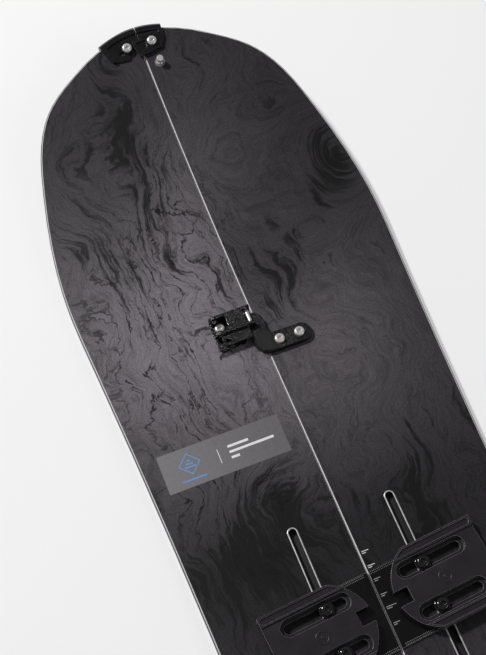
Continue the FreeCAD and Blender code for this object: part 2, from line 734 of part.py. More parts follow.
def tip_clip_piece(side, end):
    """Half of a tip clip: a plate on the surface with a bevelled lip round the board's end."""
    corners = TIP_LEFT if side < 0 else TIP_RIGHT
    x = TIP_SCREWS[0] if side < 0 else TIP_SCREWS[1]
    ahead = HALF - TIP_SCREW_Y
    shifted = [(px, py + ahead) for px, py in corners]
    body = prism(shifted, -TIP_LIP_DROP, TIP_CLIP_THICK)
    r_low = TIP_ARC_R + TIP_LIP_GAP + TIP_LIP + TIP_CLIP_THICK - TIP_BEVEL + TIP_LIP_DROP
    r_high = r_low - TIP_CLIP_THICK - TIP_LIP_DROP
    bevel = Part.makeCone(
        r_low, r_high, TIP_CLIP_THICK + TIP_LIP_DROP, vec(0, ahead - TIP_ARC_R, -TIP_LIP_DROP)
    )
    bore = rod(SCREW_R, x, 0.0, 0.0, TIP_CLIP_THICK)
    body = body.common(bevel).cut(bore)
    body = body.cut(tip_floor(side, ahead, x))
    if side > 0:
        recess = [(px, py + ahead) for px, py in TIP_RECESS]
        floor = TIP_CLIP_THICK - TIP_RECESS_DEPTH
        body = body.cut(prism(recess, floor, TIP_CLIP_THICK))
        x0, x1, y0, y1 = TIP_TOOTH
        body = body.cut(box(x0, x1, y0, y1, -TIP_LIP_DROP, TIP_LIFT))
    else:
        x0, x1, y, width = TIP_CRESCENT
        body = body.cut(stadium_x(y + ahead, x0, x1, width, 0.0, TIP_CLIP_THICK))
        x_peg, y_peg, radius = TIP_PEG
        body = body.cut(rod(radius, x_peg, y_peg + ahead, 0.0, TIP_CLIP_THICK))
    placed = on_slope(body, TIP_SCREW_Y * end)
    rim = plan(-TIP_LIP_GAP - TIP_LIP)
    board = plan(-TIP_LIP_GAP).common(sheet(from_base(-WORK_HEIGHT / 3.0), from_top(-TIP_SEAT)))
    return placed.common(rim).cut(board)


def tip_screw(side, end):
    x = TIP_SCREWS[0] if side < 0 else TIP_SCREWS[1]
    depth = TIP_CLIP_THICK + TIP_SCREW_DEPTH
    return on_slope(screw(x, 0.0, TIP_CLIP_THICK, depth), TIP_SCREW_Y * end)


def stud(end):
    """Turned post on the right half, waisted below its head, threaded into an insert."""
    post = rod(STUD_R, STUD_X, 0.0, TIP_SEAT, STUD_HEIGHT)
    shank = rod(SCREW_R, STUD_X, 0.0, -TIP_SCREW_DEPTH, TIP_SEAT)
    ring = rod(STUD_R + 1, STUD_X, 0.0, STUD_NECK[0], STUD_NECK[1])
    waist = ring.cut(rod(STUD_NECK_R, STUD_X, 0.0, STUD_NECK[0], STUD_NECK[1]))
    return on_slope(post.fuse(shank).cut(waist), STUD_Y * end)


def half_nodes(side, blanks):
    """All nodes fixed to one half apart from the clips."""
    word = "right" if side > 0 else "left"
    pockets = channel_pockets()
    rails = [channel_rail(y0, y1) for y0, y1 in channel_spans()]
    made = {}
    if side < 0:
        pockets = [mirrored_x(p) for p in pockets]
        rails = [mirrored_x(r) for r in rails]
    holes = insert_holes(side)
    for name, blank in blanks.items():
        shape = blank if side > 0 else mirrored_x(blank)
        if name in ("core", "upper_laminate", "topsheet"):
            shape = shape.cut(pockets + holes)
        if name == "inner_sidewall":
            shape = shape.cut(holes)
        made[word + "_" + name] = shape
    made[word + "_channels"] = Part.makeCompound(rails)
    made[word + "_inserts"] = inserts(side)
    return made


def puck_nodes():
    """Four pucks with their plates, bolts and channel nuts."""
    made = {}
    plate_z = TOP + PUCK_TRAVEL_GAP
    block = puck_block()
    plate = puck_plate()
    for station, place in enumerate(("front", "rear")):
        for side, word in ((-1, "left"), (1, "right")):
            name = place + "_" + word
            turned = placed_puck(plate, side, station, plate_z)
            made[name + "_puck_plate"] = seam_trim(turned, side)
            made[name + "_puck"] = placed_puck(block, side, station, plate_z + PLATE_THICK)
            spots = bolt_places(side, station)
            made[name + "_bolts"] = Part.makeCompound([puck_bolt(x, y) for x, y in spots])
            made[name + "_nuts"] = Part.makeCompound([channel_nut(x, y) for x, y in spots])
    return made


def clip_nodes():
    """Two closing clips; the rear one is the front one mirrored."""
    base_screws = [
        screw(x, CLIP_SCREW_Y, TOP + CLIP_PLATE, CLIP_PLATE + SCREW_DEPTH) for x in CLIP_SCREW_X
    ]
    plate_screws = [
        screw(x, HOOK_SCREW_Y, TOP + HOOK_THICK, HOOK_THICK + SCREW_DEPTH) for x in HOOK_SCREWS
    ]
    front = {
        "clip_base": clip_base(),
        "clip_pivot_pins": clip_pivot_pins(),
        "clip_lever": clip_lever(),
        "clip_bar": clip_bar(),
        "hook_plate": hook_plate(),
    }
    made = {}
    for name, shape in front.items():
        made["front_" + name] = shape
        made["rear_" + name] = mirrored_y(shape)
    for name, group in (("clip_screws", base_screws), ("hook_screws", plate_screws)):
        made[name] = Part.makeCompound(group + [mirrored_y(s) for s in group])
    return made


def tip_nodes():
    """Interlocking clips at the nose and the tail, their screws and the posts behind them."""
    made = {}
    for end, place in ((1, "nose"), (-1, "tail")):
        made[place + "_clip_left"] = tip_clip_piece(-1, end)
        made[place + "_clip_right"] = tip_clip_piece(1, end)
    for side, word in ((-1, "left"), (1, "right")):
        group = [tip_screw(side, end) for end in (1, -1)]
        made[word + "_tip_screws"] = Part.makeCompound(group)
    made["right_studs"] = Part.makeCompound([stud(1), stud(-1)])
    return made


os.makedirs("parts", exist_ok=True)
nodes = {}
half_layers = half_blanks()
for half_side in (-1, 1):
    nodes.update(half_nodes(half_side, half_layers))
nodes.update(puck_nodes())
nodes.update(clip_nodes())
nodes.update(tip_nodes())
for node_name, node_shape in nodes.items():
    node_shape.exportStep("parts/" + node_name + ".step")
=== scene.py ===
import json
import math

import bmesh
import bpy
import numpy as np
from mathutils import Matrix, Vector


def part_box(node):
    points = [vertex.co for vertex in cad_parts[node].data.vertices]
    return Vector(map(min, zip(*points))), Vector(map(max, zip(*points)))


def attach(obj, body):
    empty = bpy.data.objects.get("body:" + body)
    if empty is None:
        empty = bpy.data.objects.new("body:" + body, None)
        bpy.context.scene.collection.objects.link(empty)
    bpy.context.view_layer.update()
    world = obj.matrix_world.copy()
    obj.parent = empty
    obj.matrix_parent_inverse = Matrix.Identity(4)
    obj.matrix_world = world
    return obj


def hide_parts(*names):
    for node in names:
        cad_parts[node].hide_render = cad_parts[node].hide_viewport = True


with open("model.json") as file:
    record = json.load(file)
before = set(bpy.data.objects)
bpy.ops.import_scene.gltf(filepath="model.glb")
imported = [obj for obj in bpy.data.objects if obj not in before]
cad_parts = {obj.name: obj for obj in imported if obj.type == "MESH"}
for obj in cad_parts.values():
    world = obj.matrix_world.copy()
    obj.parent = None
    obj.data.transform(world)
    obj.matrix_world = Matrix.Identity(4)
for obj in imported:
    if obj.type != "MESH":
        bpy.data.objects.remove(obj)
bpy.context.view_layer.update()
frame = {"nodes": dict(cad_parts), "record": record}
nodes = frame["nodes"]
bodies = {n: b for b, members in frame["record"]["behaviour"]["bodies"].items() for n in members}
SIDES = ("left", "right")
ENDS = ("front", "rear")


# The view: the board lies on a studio table and is seen from above, a little from beside its left
# edge, through a long lens.
camera_data = bpy.data.cameras.new("camera")
camera_data.lens = 70.25
camera_data.sensor_width = 36.0
camera_data.clip_end = 50.0
camera = bpy.data.objects.new("camera", camera_data)
camera.location = (-0.1954, 0.0164, 1.0340)
camera.rotation_euler = (math.radians(25.854), 0.0, math.radians(-21.609))
bpy.context.scene.collection.objects.link(camera)
bpy.context.scene.camera = camera
bpy.context.scene.view_settings.view_transform = "Standard"


# Running bases: dark sintered polyethylene sheets, stone-ground along the board and laid in the
# press first. The two small classes that every finish is written with are defined here too.
class Level:
    """A number that varies over a surface. Arithmetic on it adds Math nodes."""

    def __init__(self, finish, socket):
        self.finish = finish
        self.socket = socket

    def maths(self, operation, *others):
        return self.finish.add("ShaderNodeMath", {"operation": operation}, (self,) + others)

    def __add__(self, other):
        return self.maths("ADD", other)

    def __sub__(self, other):
        return self.maths("SUBTRACT", other)

    def __mul__(self, other):
        return self.maths("MULTIPLY", other)

    def __rsub__(self, other):
        return self.finish.add("ShaderNodeMath", {"operation": "SUBTRACT"}, (other, self))

    __radd__ = __add__
    __rmul__ = __mul__

    def ramp(self, low, high):
        """Goes smoothly from 0 at low to 1 at high; low may be the larger of the two."""
        flip = low > high
        a, b = (high, low) if flip else (low, high)
        settings = {"interpolation_type": "SMOOTHSTEP", "clamp": True}
        step = self.finish.add("ShaderNodeMapRange", settings, (self, a, b))
        return 1.0 - step if flip else step

    def capped(self):
        """Held between 0 and 1."""
        return self.maths("MAXIMUM", 0.0).maths("MINIMUM", 1.0)


class Finish:
    """The node tree of one material, built on its Principled shader."""

    def __init__(self, name, colour, roughness, metallic=0.0):
        self.material = bpy.data.materials.new(name)
        self.material.use_nodes = True
        self.tree = self.material.node_tree
        self.shader = self.tree.nodes["Principled BSDF"]
        self.shader.inputs["Base Color"].default_value = (*colour, 1.0)
        self.shader.inputs["Roughness"].default_value = roughness
        self.shader.inputs["Metallic"].default_value = metallic

    def add(self, kind, settings=None, values=(), output=0):
        """A node of that kind. Settings come first, then the sockets in order or by name."""
        node = self.tree.nodes.new(kind)
        for key, value in (settings or {}).items():
            setattr(node, key, value)
        pairs = values.items() if isinstance(values, dict) else enumerate(values)
        for key, value in pairs:
            if isinstance(value, Level):
                self.tree.links.new(value.socket, node.inputs[key])
            elif value is not None:
                node.inputs[key].default_value = value
        return Level(self, node.outputs[output])

    def place(self):
        """Object coordinates, whole and as x, y and z in metres."""
        at = self.add("ShaderNodeTexCoord", output="Object")
        split = self.tree.nodes.new("ShaderNodeSeparateXYZ")
        self.tree.links.new(at.socket, split.inputs[0])
        return [at] + [Level(self, socket) for socket in split.outputs]

    def vector(self, x, y, z=0.0):
        return self.add("ShaderNodeCombineXYZ", None, (x, y, z))

    def noise(self, vector, scale=1.0, detail=3.0, roughness=0.5):
        values = {"Vector": vector, "Scale": scale, "Detail": detail, "Roughness": roughness}
        return self.add("ShaderNodeTexNoise", None, values)

    def blend(self, share, first, second):
        """Colour that goes from first to second as share goes from 0 to 1."""
        sockets = {0: share, 6: first, 7: second}
        for key in (6, 7):
            if not isinstance(sockets[key], Level):
                sockets[key] = (*sockets[key], 1.0)
        return self.add("ShaderNodeMix", {"data_type": "RGBA"}, sockets, output=2)

    def feed(self, **sockets):
        for name, value in sockets.items():
            self.tree.links.new(value.socket, self.shader.inputs[name.replace("_", " ")])

    def bump(self, height, distance):
        values = {"Strength": 1.0, "Distance": distance, "Height": height}
        self.feed(Normal=self.add("ShaderNodeBump", None, values))

    def coat(self, *names):
        """Puts the finish on these CAD nodes."""
        for name in names:
            data = nodes[name].data
            data.materials.clear()
            data.materials.append(self.material)


base = Finish("base_grind", (0.016, 0.016, 0.018), 0.38)
x, y, z = base.place()[1:]
grind = base.noise(base.vector(x * 900.0, y * 12.0, z * 900.0), detail=2.0)
base.feed(Roughness=grind * 0.25 + 0.28)
base.feed(Base_Color=base.blend(grind, (0.012, 0.012, 0.014), (0.024, 0.024, 0.027)))
base.bump(grind, 0.00004)
base.coat("left_base_sheet", "right_base_sheet")


# Steel edges: hardened strip, ground square, laid round the base before pressing. The outer one is
# bent round nose and tail, and the inner one runs straight along the split.
edge = Finish("edge_steel", (0.50, 0.51, 0.53), 0.32, 1.0)
x, y, z = edge.place()[1:]
scratch = edge.noise(edge.vector(x * 300.0, y * 40.0, z * 2500.0))
edge.feed(Roughness=scratch * 0.3 + 0.2)
edge.bump(scratch, 0.00003)
edge.coat("left_outer_edge", "left_inner_edge", "right_outer_edge", "right_inner_edge")


# Laminates: glass cloth in epoxy above and below the core. Only their trimmed edges show, as the
# pale line round each half.
glass = Finish("glass_laminate", (0.60, 0.60, 0.60), 0.42)
at = glass.place()[0]
weave = glass.noise(at, 900.0, 2.0)
glass.feed(Base_Color=glass.blend(weave, (0.50, 0.50, 0.51), (0.72, 0.72, 0.72)))
glass.bump(weave, 0.00005)
for side in SIDES:
    glass.coat(side + "_lower_laminate", side + "_upper_laminate")


# Cores: strips of light wood glued side by side and planed thinner towards the tips, sealed inside.
wood = Finish("core_wood", (0.55, 0.40, 0.24), 0.6)
x, y, z = wood.place()[1:]
stave = (x * 60.0).maths("FLOOR")
fibre = wood.noise(wood.vector(x * 700.0 + stave * 3.7, y * 9.0, z * 700.0), detail=4.0)
wood.feed(Base_Color=wood.blend(fibre, (0.42, 0.28, 0.15), (0.66, 0.50, 0.32)))
wood.coat("left_core", "right_core")


# Sidewalls: dark plastic strips, bevelled and sanded. Those along the split are pale plastic, whose
# sanded top shows as the light line between the halves.
def sanded(name, low, high, names):
    """Sanded plastic: two tones mixed by fine noise, with the same noise as a faint bump."""
    finish = Finish(name, low, 0.48)
    grain = finish.noise(finish.place()[0], 1300.0, 2.0)
    finish.feed(Base_Color=finish.blend(grain, low, high))
    finish.bump(grain, 0.00003)
    finish.coat(*names)


OUTER_WALLS = ("left_outer_sidewall", "right_outer_sidewall")
INNER_WALLS = ("left_inner_sidewall", "right_inner_sidewall")
sanded("sidewall_dark", (0.030, 0.028, 0.032), (0.075, 0.070, 0.078), OUTER_WALLS)
sanded("sidewall_pale", (0.66, 0.66, 0.66), (0.92, 0.92, 0.91), INNER_WALLS)


# Topsheets: matt plastic film, printed on its back with a marbled grain, bonded over the glass and
# trimmed a little inside the edge. Streaks and thin dark veins share one warped width coordinate,
# so they flow round the same eddies. A row is a place, two radii and a strength, in metres.
# The base tone below also holds painted light: a sheen on the left half and shade in the lower
# zone.
EDDIES = (
    (0.150, 0.612, 0.052, 0.060, -0.150),
    (0.030, 0.650, 0.060, 0.090, 0.045),
    (-0.060, 0.520, 0.040, 0.090, 0.026),
    (-0.105, 0.430, 0.035, 0.080, -0.022),
    (-0.105, 0.690, 0.040, 0.050, 0.040),
    (0.090, 0.430, 0.060, 0.060, -0.040),
    (-0.060, 0.300, 0.040, 0.050, 0.040),
    (0.080, -0.100, 0.060, 0.110, 0.070),
    (-0.090, -0.300, 0.050, 0.090, -0.080),
    (0.070, -0.620, 0.060, 0.090, -0.090),
)
# Rows near y 0.21 to 0.33 darken the lower zone, partly as the print's dark clouds, partly as
# painted shade.
SHADOWS = (
    (-0.046, 0.690, 0.020, 0.080, 0.85),
    (-0.088, 0.600, 0.044, 0.065, 0.50),
    (-0.100, 0.715, 0.050, 0.040, 0.30),
    (-0.012, 0.545, 0.022, 0.045, 0.30),
    (-0.090, 0.282, 0.060, 0.036, 0.80),
    (-0.050, 0.250, 0.120, 0.050, 0.16),
    (-0.045, 0.325, 0.028, 0.026, 0.60),
    (-0.120, 0.215, 0.050, 0.045, 0.30),
    (-0.030, 0.262, 0.030, 0.050, 0.30),
    (0.048, 0.532, 0.028, 0.036, 0.85),
    (0.020, 0.505, 0.020, 0.030, 0.35),
    (0.050, 0.690, 0.055, 0.022, 0.18),
    (0.128, 0.606, 0.020, 0.040, 0.85),
    (0.098, 0.575, 0.020, 0.024, 0.50),
    (0.100, 0.660, 0.018, 0.040, 0.30),
    (0.085, 0.305, 0.080, 0.040, 0.42),
    (0.125, 0.235, 0.060, 0.050, 0.40),
    (0.030, 0.275, 0.030, 0.040, 0.35),
    (0.060, 0.775, 0.060, 0.026, 0.25),
    (-0.070, 0.020, 0.060, 0.110, 0.62),
    (0.080, -0.030, 0.050, 0.100, 0.52),
    (-0.080, -0.320, 0.060, 0.110, 0.52),
    (0.070, -0.420, 0.060, 0.090, 0.55),
    (-0.060, -0.610, 0.060, 0.070, 0.50),
    (0.060, -0.690, 0.050, 0.060, 0.55),
)
# The row at y 0.25 with a negative strength darkens the lower zone: partly print, partly painted
# shade.
GLOWS = (
    (0.030, 0.430, 0.080, 0.090, 0.044),
    (0.080, 0.470, 0.060, 0.060, 0.014),
    (0.030, 0.640, 0.050, 0.080, 0.010),
    (-0.020, 0.640, 0.050, 0.060, 0.030),
    (0.050, -0.230, 0.060, 0.100, 0.030),
    (-0.060, -0.480, 0.070, 0.120, 0.035),
    (0.000, -0.740, 0.160, 0.080, 0.012),
    (0.000, 0.250, 0.220, 0.075, -0.017),
    (0.120, 0.700, 0.060, 0.120, -0.008),
)
# Painted sheen: lighter hills on the left half only, where a broad glossy reflection falls on the
# film.
LEFT_PAINTED_SHEEN = (
    (-0.070, 0.480, 0.100, 0.105, 0.110),
    (-0.040, 0.565, 0.050, 0.060, 0.050),
    (-0.125, 0.560, 0.040, 0.110, 0.030),
    (-0.070, -0.150, 0.070, 0.120, 0.040),
)
VEINED = (
    (-0.095, 0.470, 0.055, 0.140, 1.0),
    (-0.030, 0.560, 0.045, 0.110, 0.9),
    (-0.080, 0.330, 0.050, 0.050, 0.9),
    (-0.060, -0.350, 0.080, 0.200, 0.9),
    (0.080, -0.550, 0.060, 0.120, 0.8),
    (0.070, 0.050, 0.060, 0.160, 0.8),
)
SPLIT_HALF = 0.0012
GROUND = 0.032
PURPLE = (1.04, 0.945, 1.05)
MURK_BLACK = (0.0034, 0.0037, 0.0037)
VEIN_BLACK = (0.0025, 0.0028, 0.0028)


def hills(x, y, spots):
    """Sum of smooth round-topped hills: height times e to minus the squared scaled distance."""
    total = 0.0
    for cx, cy, rx, ry, height in spots:
        dx = (x - cx) * (1.0 / rx)
        dy = (y - cy) * (1.0 / ry)
        total = total + (0.0 - (dx * dx + dy * dy)).maths("EXPONENT") * height
    return total


film = Finish("topsheet_film", (0.04, 0.04, 0.042), 0.42)
film.shader.inputs["Specular IOR Level"].default_value = 0.20
at, x, y = film.place()[:3]
flat = film.vector(x, y)
wide = film.noise(flat, 6.0, 2.0)
near = film.noise(flat, 24.0, 4.0)
tiny = film.noise(flat, 120.0, 3.0)
across = x + hills(x, y, EDDIES) + (wide - 0.5) * 0.11
across = across + (near - 0.5) * 0.034 + (tiny - 0.5) * 0.003
streak = film.noise(film.vector(across * 150.0, y * 13.0), detail=6.0, roughness=0.66)
fibre = film.noise(film.vector(across * 620.0, y * 70.0), detail=3.0, roughness=0.6)
dust = film.noise(flat, 700.0, 2.0)
patch = film.noise(film.vector(across * 24.0, y * 12.0), detail=7.0, roughness=0.66)
wander = film.noise(film.vector(across * 60.0, y * 26.0), detail=4.0, roughness=0.65)
comb = (across * 88.0 + wander * 2.2).maths("FRACT")
ridge = (comb - 0.5).maths("ABSOLUTE") * 2.0
gate = film.noise(film.vector(across * 34.0 + 7.0, y * 12.0 + 3.0), detail=4.0)
crack = film.noise(film.vector(across * 30.0 + 3.0, y * 17.0), detail=5.0, roughness=0.6)
rim = (crack - 0.5).maths("ABSOLUTE")
vein_zone = hills(x, y, VEINED) + 0.10
lines = ridge.ramp(0.20, 0.02) * gate.ramp(0.42, 0.58) * vein_zone.capped()
cracks = rim.ramp(0.020, 0.002) * gate.ramp(0.62, 0.44) * (vein_zone + 0.15).capped()
depth = hills(x, y, SHADOWS) + (patch - 0.5) * 2.6
depth = depth + (streak - 0.5) * 3.0 + (fibre - 0.5) * 0.9 - 0.38
murk = depth.ramp(-0.12, 0.50)
# Painted sheen: the left-half hills count only left of the split, on top of the print's base level.
left_sheen_side = x.ramp(SPLIT_HALF, -SPLIT_HALF)
base_tone_and_sheen = hills(x, y, GLOWS) + hills(x, y, LEFT_PAINTED_SHEEN) * left_sheen_side + GROUND
base_tone_and_sheen = base_tone_and_sheen * ((streak - 0.5) * 1.2 + (fibre - 0.5) * 1.1 + (patch - 0.5) * 0.8 + 1.0)
base_tone_and_sheen = base_tone_and_sheen * ((dust - 0.5) * 1.1 + 1.0)
tone = film.vector(*[base_tone_and_sheen * share for share in PURPLE])
tone = film.blend(murk * 0.92, tone, MURK_BLACK)
tone = film.blend(lines.maths("MAXIMUM", cracks) * 0.92, tone, VEIN_BLACK)
film.feed(Base_Color=tone)
film.feed(Roughness=streak * 0.16 + 0.34)
peel = film.noise(at, 700.0, 2.0)
film.bump(peel, 0.00004)
film.coat("left_topsheet", "right_topsheet")


# Label printed on the left topsheet: a grey panel with a plain blue mark and three pale lines.
# It and the later small pieces are sheets worked out on a grid, with seams and poles closed.
MERGE_REACH = 0.000001


def sheet(name, rows, columns, surface, finish):
    """Grid surface: surface(u, v) gives x, y and z for u and v from 0 to 1."""
    u, v = np.meshgrid(np.linspace(0.0, 1.0, columns), np.linspace(0.0, 1.0, rows))
    points = np.stack([np.broadcast_to(c, u.shape) for c in surface(u, v)], -1).reshape(-1, 3)
    corner = (np.arange(rows - 1)[:, None] * columns + np.arange(columns - 1)).ravel()
    faces = np.stack([corner, corner + 1, corner + columns + 1, corner + columns], 1)
    mesh = bpy.data.meshes.new(name)
    mesh.from_pydata(points.tolist(), [], faces.tolist())
    mesh.materials.append(finish.material)
    close_up(mesh)
    obj = bpy.data.objects.new(name, mesh)
    bpy.context.scene.collection.objects.link(obj)
    return obj


def close_up(mesh):
    """Merges points that share a place and drops those that no face uses."""
    work = bmesh.new()
    work.from_mesh(mesh)
    loose = [vert for vert in work.verts if not vert.link_faces]
    bmesh.ops.delete(work, geom=loose, context="VERTS")
    bmesh.ops.remove_doubles(work, verts=work.verts, dist=MERGE_REACH)
    work.to_mesh(mesh)
    work.free()
    mesh.shade_smooth()


def panel(name, rows, columns, surface, finish, body):
    """Grid surface that rides on a body."""
    obj = sheet(name, rows, columns, surface, finish)
    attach(obj, body)


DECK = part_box("left_channels")[1].z
PRINT = 0.00004
label = Finish("label_grey", (0.14, 0.14, 0.145), 0.40)
at, x = label.place()[:2]
fleck = label.noise(at, 420.0, 3.0)
sheen = x.ramp(-0.130, -0.010) * 0.5 + fleck * 0.5
label.feed(Base_Color=label.blend(sheen, (0.190, 0.180, 0.192), (0.095, 0.090, 0.096)))
label.bump(fleck, 0.00003)
mark_blue = Finish("label_blue", (0.10, 0.26, 0.55), 0.45)
fleck = mark_blue.noise(mark_blue.place()[0], 500.0, 2.0)
mark_blue.feed(Base_Color=mark_blue.blend(fleck, (0.08, 0.22, 0.48), (0.14, 0.32, 0.62)))
print_white = Finish("print_white", (0.75, 0.75, 0.75), 0.5)
fleck = print_white.noise(print_white.place()[0], 600.0, 2.0)
print_white.feed(Base_Color=print_white.blend(fleck, (0.60, 0.60, 0.60), (0.85, 0.85, 0.85)))


def bar(name, x0, x1, y0, y1, layer, finish, body):
    """Flat rectangle, x and y in proportion to u and v, at a print layer above the deck."""

    def surface(u, v):
        return x0 + (x1 - x0) * u, y0 + (y1 - y0) * v, DECK + PRINT * layer

    panel(name, 2, 2, surface, finish, body)


LABEL_SPAN = (-0.1267, -0.0165, 0.3552, 0.3908)
RULE_SPAN = (-0.0762, -0.0756, 0.3660, 0.3790)
FOOT_SPAN = (-0.1130, -0.0910, 0.3608, 0.3622)
LINE_X, LINE_TOP = -0.0665, 0.3792
LINE_STEP, LINE_HEIGHT = 0.0052, 0.0022
LINE_LENGTHS = (0.0190, 0.0405, 0.0075)
bar("label_panel", *LABEL_SPAN, 1, label, "left_half")
bar("label_rule", *RULE_SPAN, 2, print_white, "left_half")
for row, length in enumerate(LINE_LENGTHS):
    top = LINE_TOP - row * LINE_STEP
    span = (LINE_X, LINE_X + length, top - LINE_HEIGHT, top)
    bar(f"label_line_{row}", *span, 2, print_white, "left_half")

MARK_X, MARK_Y = -0.1020, 0.3755
MARK_REACH, MARK_LINE = 0.0100, 0.0012
MARK_BAR_Y, MARK_BAR_STEP, MARK_BAR_HEIGHT = 0.3722, 0.0028, 0.0014
MARK_BAR_HALVES = (0.0050, 0.0032, 0.0014)


def diamond_ring(u, v):
    """Diamond outline: a square ring turned by an eighth, its width across given by v."""
    corner = np.array([[0.0, 1.0], [-1.0, 0.0], [0.0, -1.0], [1.0, 0.0], [0.0, 1.0]])
    place = u * 4.0
    low = np.minimum(place.astype(int), 3)
    share = (place - low)[..., None]
    line = corner[low] * (1.0 - share) + corner[low + 1] * share
    reach = MARK_REACH - MARK_LINE * v
    return MARK_X + line[..., 0] * reach, MARK_Y + line[..., 1] * reach, DECK + PRINT * 2


panel("label_mark_ring", 2, 41, diamond_ring, mark_blue, "left_half")
for row, half in enumerate(MARK_BAR_HALVES):
    low = MARK_BAR_Y + row * MARK_BAR_STEP
    span = (MARK_X - half, MARK_X + half, low, low + MARK_BAR_HEIGHT)
    bar(f"label_mark_{row}", *span, 2, mark_blue, "left_half")
bar("label_mark_foot", *FOOT_SPAN, 2, mark_blue, "left_half")


# Embossed lens round each closing clip: the film and glass are pressed up a little over the
# clip's backing plate, with a low rounded ridge along the outline. It stays under the hook.
LENS_X, LENS_Y = -0.002, 0.4655
LENS_REACH, LENS_HALF = 0.0585, 0.0245
LENS_LEAN = 0.235
LENS_POINT = 0.75
LENS_PLATEAU = 0.00016
LENS_RIDGE = 0.00034
RIDGE_WIDTH = 0.0011


def lens(body, end, x0, x1):
    """Half an eye shape on a leaning middle line.

    Its half-width falls as a power of the distance from its middle, and its height is a low
    plateau with a bell-shaped ridge just inside the outline."""

    def surface(u, v):
        px = x0 + (x1 - x0) * u
        share = (px - LENS_X) / LENS_REACH
        middle = LENS_Y - LENS_LEAN * (px - LENS_X)
        half = LENS_HALF * np.clip(1.0 - share * share, 0.0, 1.0) ** LENS_POINT
        t = np.sin(np.pi * (v - 0.5))
        inside = (1.0 - np.abs(t)) * half
        ridge = np.exp(-(((inside - 1.5 * RIDGE_WIDTH) / RIDGE_WIDTH) ** 2))
        plateau = np.clip(inside / (3.0 * RIDGE_WIDTH), 0.0, 1.0)
        rise = LENS_RIDGE * ridge + LENS_PLATEAU * plateau * (1.0 - ridge)
        return px, end * middle + t * half, DECK - PRINT + rise

    word = "front" if end > 0 else "rear"
    panel(f"{word}_{body}_lens", 65, 65, surface, film, body)


for end in (1, -1):
    lens("left_half", end, -0.0600, -0.0011)
    lens("right_half", end, 0.0011, 0.0560)


# Channels: black moulded rails pressed into pockets in the core, two in each half. A bright rolled
# lip runs round each slot and holds the film down.
rail = Finish("channel_rail", (0.02, 0.02, 0.022), 0.5)
at = rail.place()[0]
mould = rail.noise(at, 800.0, 2.0)
rail.feed(Base_Color=rail.blend(mould, (0.004, 0.004, 0.0045), (0.010, 0.010, 0.011)))
rail.bump(mould, 0.00004)
rail.coat("left_channels", "right_channels")
lip = Finish("channel_lip", (0.52, 0.52, 0.53), 0.34, 0.6)
at = lip.place()[0]
rub = lip.noise(at, 260.0, 3.0)
lip.feed(Base_Color=lip.blend(rub, (0.40, 0.40, 0.41), (0.80, 0.80, 0.80)))
lip.feed(Roughness=rub * 0.2 + 0.22)
CHANNEL_X = 0.0439
FEET = {"front": 0.202, "rear": -0.342}
LIP_RADIUS, LIP_STRAIGHT = 0.0040, 0.0857
LIP_HALF, LIP_RISE, LIP_SINK = 0.00060, 0.00027, 0.00002


def lip_ring(side, end):
    """Lip of one slot: a half-round bead carried round a stadium, two straights and two arcs."""
    sign = -1.0 if side == "left" else 1.0

    def surface(u, v):
        turn = 2.0 * np.pi * (u + 0.25)
        nx, ny = np.cos(turn), np.sin(turn)
        shift = np.where(ny >= 0.0, LIP_STRAIGHT, -LIP_STRAIGHT)
        tip = np.pi * v
        reach = LIP_RADIUS + LIP_HALF * np.cos(tip)
        px = sign * CHANNEL_X + nx * reach
        return px, FEET[end] + shift + ny * reach, DECK - LIP_SINK + LIP_RISE * np.sin(tip)

    panel(f"{end}_{side}_slot_lip", 7, 97, surface, lip, side + "_half")


for side in SIDES:
    for end in ENDS:
        lip_ring(side, end)


# Inserts: stainless threaded bushes for the clips, the touring bracket and the heel rest. They are
# let into the core before pressing and stand flush with the film.
insert = Finish("insert_steel", (0.42, 0.42, 0.43), 0.35, 1.0)
at = insert.place()[0]
turned = insert.noise(at, 1500.0, 2.0)
insert.feed(Roughness=turned * 0.3 + 0.2)
insert.coat("left_inserts", "right_inserts")


# Clips: plates milled from bar, black anodised and tumbled, with painted glints on fine pits. Each
# piece of hardware gets broken edges a few tenths of a millimetre wide; on these they are painted
# pale as highlights.
FLAT = math.radians(0.1)
CORNER = math.radians(32.0)
WELD_REACH = 0.000002


def eased(node, width, finish, rub_and_edge_highlight=None):
    """The CAD piece with doubles merged, flat facets joined and its sharp edges rounded.

    The rounded edges take the second finish where one is given, a painted highlight along them."""
    mesh = nodes[node].data.copy()
    work = bmesh.new()
    work.from_mesh(mesh)
    bmesh.ops.remove_doubles(work, verts=work.verts, dist=WELD_REACH)
    bmesh.ops.dissolve_limit(work, angle_limit=FLAT, verts=work.verts, edges=work.edges)
    work.to_mesh(mesh)
    work.free()
    mesh.materials.clear()
    mesh.materials.append(finish.material)
    mesh.shade_smooth()
    mesh.set_sharp_from_angle(angle=CORNER)
    obj = bpy.data.objects.new(node + "_finished", mesh)
    bpy.context.scene.collection.objects.link(obj)
    bevel = obj.modifiers.new("eased_edges", "BEVEL")
    bevel.width = width
    bevel.segments = 2
    bevel.limit_method = "ANGLE"
    bevel.angle_limit = CORNER
    if rub_and_edge_highlight:
        mesh.materials.append(rub_and_edge_highlight.material)
        bevel.material = 1
    normals = obj.modifiers.new("flat_faces", "WEIGHTED_NORMAL")
    normals.keep_sharp = True
    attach(obj, bodies[node])
    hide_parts(node)


